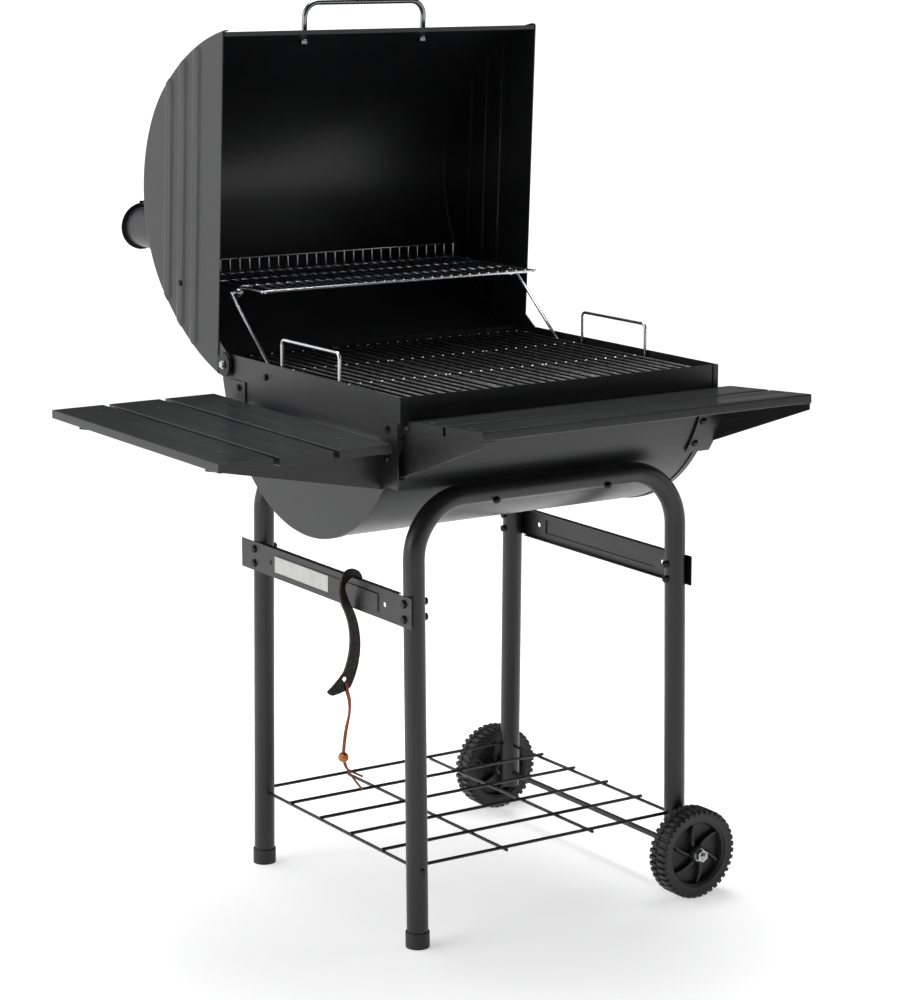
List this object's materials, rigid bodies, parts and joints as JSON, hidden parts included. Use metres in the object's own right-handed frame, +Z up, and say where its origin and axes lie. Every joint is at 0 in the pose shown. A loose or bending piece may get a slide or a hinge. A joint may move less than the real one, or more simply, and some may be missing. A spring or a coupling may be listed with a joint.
{
  "type": "barrel charcoal grill",
  "caption": "Barrel charcoal grill on a wheeled tube frame, lid open, with chimney, linked warming rack, lift-out grates and tray, side and front shelves.",
  "frame": {"origin": "middle of the object's footprint, on the floor", "axes": "+X along the barrel from the side shelf toward the wheels, -Y to the user's side in front, +Y to the open lid, +Z up"},
  "size_m": [0.89, 1.1266, 1.3681],
  "materials": {
    "black_enamel": "satin heat-resistant black",
    "black_powder_coat": "fine satin black powder coat",
    "bare_tube": "plain drawn tube",
    "chrome_wire": "bright chrome",
    "chrome_bar": "bright chrome bar",
    "grate_steel": "dark plated steel wire",
    "zinc": "bright zinc",
    "foot_plastic": "matt black",
    "board": "smooth satin black paint on wood board",
    "wheel_plastic": "matt black moulded plastic",
    "label": "plain white self-adhesive film",
    "tool_steel": "dark oiled flat bar",
    "leather": "red-brown cord",
    "bead_wood": "oiled turned wood"
  },
  "bodies": {
    "stand": {"barrel_shell": "black_enamel", "barrel_end_left": "black_enamel", "barrel_end_right": "black_enamel", "grate_rails": "black_powder_coat", "damper_rivet": "zinc", "front_frame_left": "black_powder_coat", "front_frame_right": "black_powder_coat", "rear_frame_left": "black_powder_coat", "rear_frame_right": "black_powder_coat", "frame_sleeves": "bare_tube", "barrel_bolts": "zinc", "foot_caps": "foot_plastic", "brace_left": "black_powder_coat", "brace_right": "black_powder_coat", "brace_bolts": "zinc", "brace_label": "label", "wire_shelf": "black_powder_coat", "wire_shelf_screws": "zinc", "axle": "zinc", "axle_nuts_and_washers": "zinc", "side_board_outer": "board", "side_board_middle": "board", "side_board_inner": "board", "side_bracket_front": "black_powder_coat", "side_bracket_rear": "black_powder_coat", "front_board_inner": "board", "front_board_outer": "board", "front_bracket_left": "black_powder_coat", "front_bracket_right": "black_powder_coat", "board_screws": "zinc", "bracket_bolts": "zinc", "hinge_bolts": "zinc", "hinge_washers": "chrome_wire", "strut_bolts": "zinc"},
    "lid": {"lid_shell": "black_enamel", "lid_end_left": "black_enamel", "lid_end_right": "black_enamel", "lid_handle": "chrome_bar", "lid_handle_collars": "chrome_bar", "chimney_pipe": "black_enamel", "chimney_flange": "black_enamel", "chimney_cap_rivet": "zinc", "rack_bolts": "zinc"},
    "cap": {"chimney_cap": "black_enamel"},
    "struts": {"rack_struts": "chrome_wire"},
    "rack": {"warming_rack": "chrome_wire"},
    "grate_left": {"cooking_grate_left": "grate_steel"},
    "grate_middle": {"cooking_grate_middle": "grate_steel"},
    "grate_right": {"cooking_grate_right": "grate_steel"},
    "tray": {"charcoal_tray": "black_powder_coat", "tray_lift_handles": "chrome_wire"},
    "damper": {"air_damper": "black_enamel"},
    "wheel_front": {"front_wheel": "wheel_plastic"},
    "wheel_rear": {"rear_wheel": "wheel_plastic"},
    "tool": {"hook_tool": "tool_steel", "lanyard_front": "leather", "lanyard_rear": "leather", "lanyard_bead": "bead_wood"}
  },
  "joints": [
    {"name": "lid_hinge", "type": "hinge", "parent": "stand", "child": "lid", "pos_m": [0.138, 0.13801, 0.808], "axis": [1, 0, 0], "range_deg": [0, 87]},
    {"name": "strut_pivot", "type": "hinge", "parent": "stand", "child": "struts", "pos_m": [0.138, 0.01651, 0.8033], "axis": [1, 0, 0], "range_deg": [0, 87]},
    {"name": "rack_pivot", "type": "hinge", "parent": "lid", "child": "rack", "pos_m": [0.138, 0.27401, 0.921], "axis": [1, 0, 0], "range_deg": [-87, 0]},
    {"name": "chimney_cap_swivel", "type": "hinge", "parent": "lid", "child": "cap", "pos_m": [-0.079, 0.54986, 1.02235], "axis": [0, 0.9986, 0.0523], "range_deg": [0, 100]},
    {"name": "front_wheel_spin", "type": "hinge", "parent": "stand", "child": "wheel_front", "pos_m": [0.375, -0.37899, 0.07], "axis": [0, 1, 0], "continuous": true},
    {"name": "rear_wheel_spin", "type": "hinge", "parent": "stand", "child": "wheel_rear", "pos_m": [0.375, 0.16301, 0.07], "axis": [0, 1, 0], "continuous": true},
    {"name": "left_grate_lift", "type": "slide", "parent": "stand", "child": "grate_left", "axis": [0, 0, 1], "range_m": [0, 0.03]},
    {"name": "middle_grate_lift", "type": "slide", "parent": "stand", "child": "grate_middle", "axis": [0, 0, 1], "range_m": [0, 0.03]},
    {"name": "right_grate_lift", "type": "slide", "parent": "stand", "child": "grate_right", "axis": [0, 0, 1], "range_m": [0, 0.03]},
    {"name": "tray_lift", "type": "slide", "parent": "stand", "child": "tray", "axis": [0, 0, 1], "range_m": [0, 0.06]},
    {"name": "damper_turn", "type": "hinge", "parent": "stand", "child": "damper", "pos_m": [0.4239, -0.10799, 0.678], "axis": [1, 0, 0], "range_deg": [0, 60]},
    {"name": "tool_sway", "type": "hinge", "parent": "stand", "child": "tool", "pos_m": [-0.115, -0.18799, 0.5285], "axis": [1, 0, 0], "range_deg": [-12, 12]}
  ],
  "couplings": [
    {"joint": "strut_pivot", "follows": "lid_hinge", "ratio": 1},
    {"joint": "rack_pivot", "follows": "lid_hinge", "ratio": -1}
  ]
}
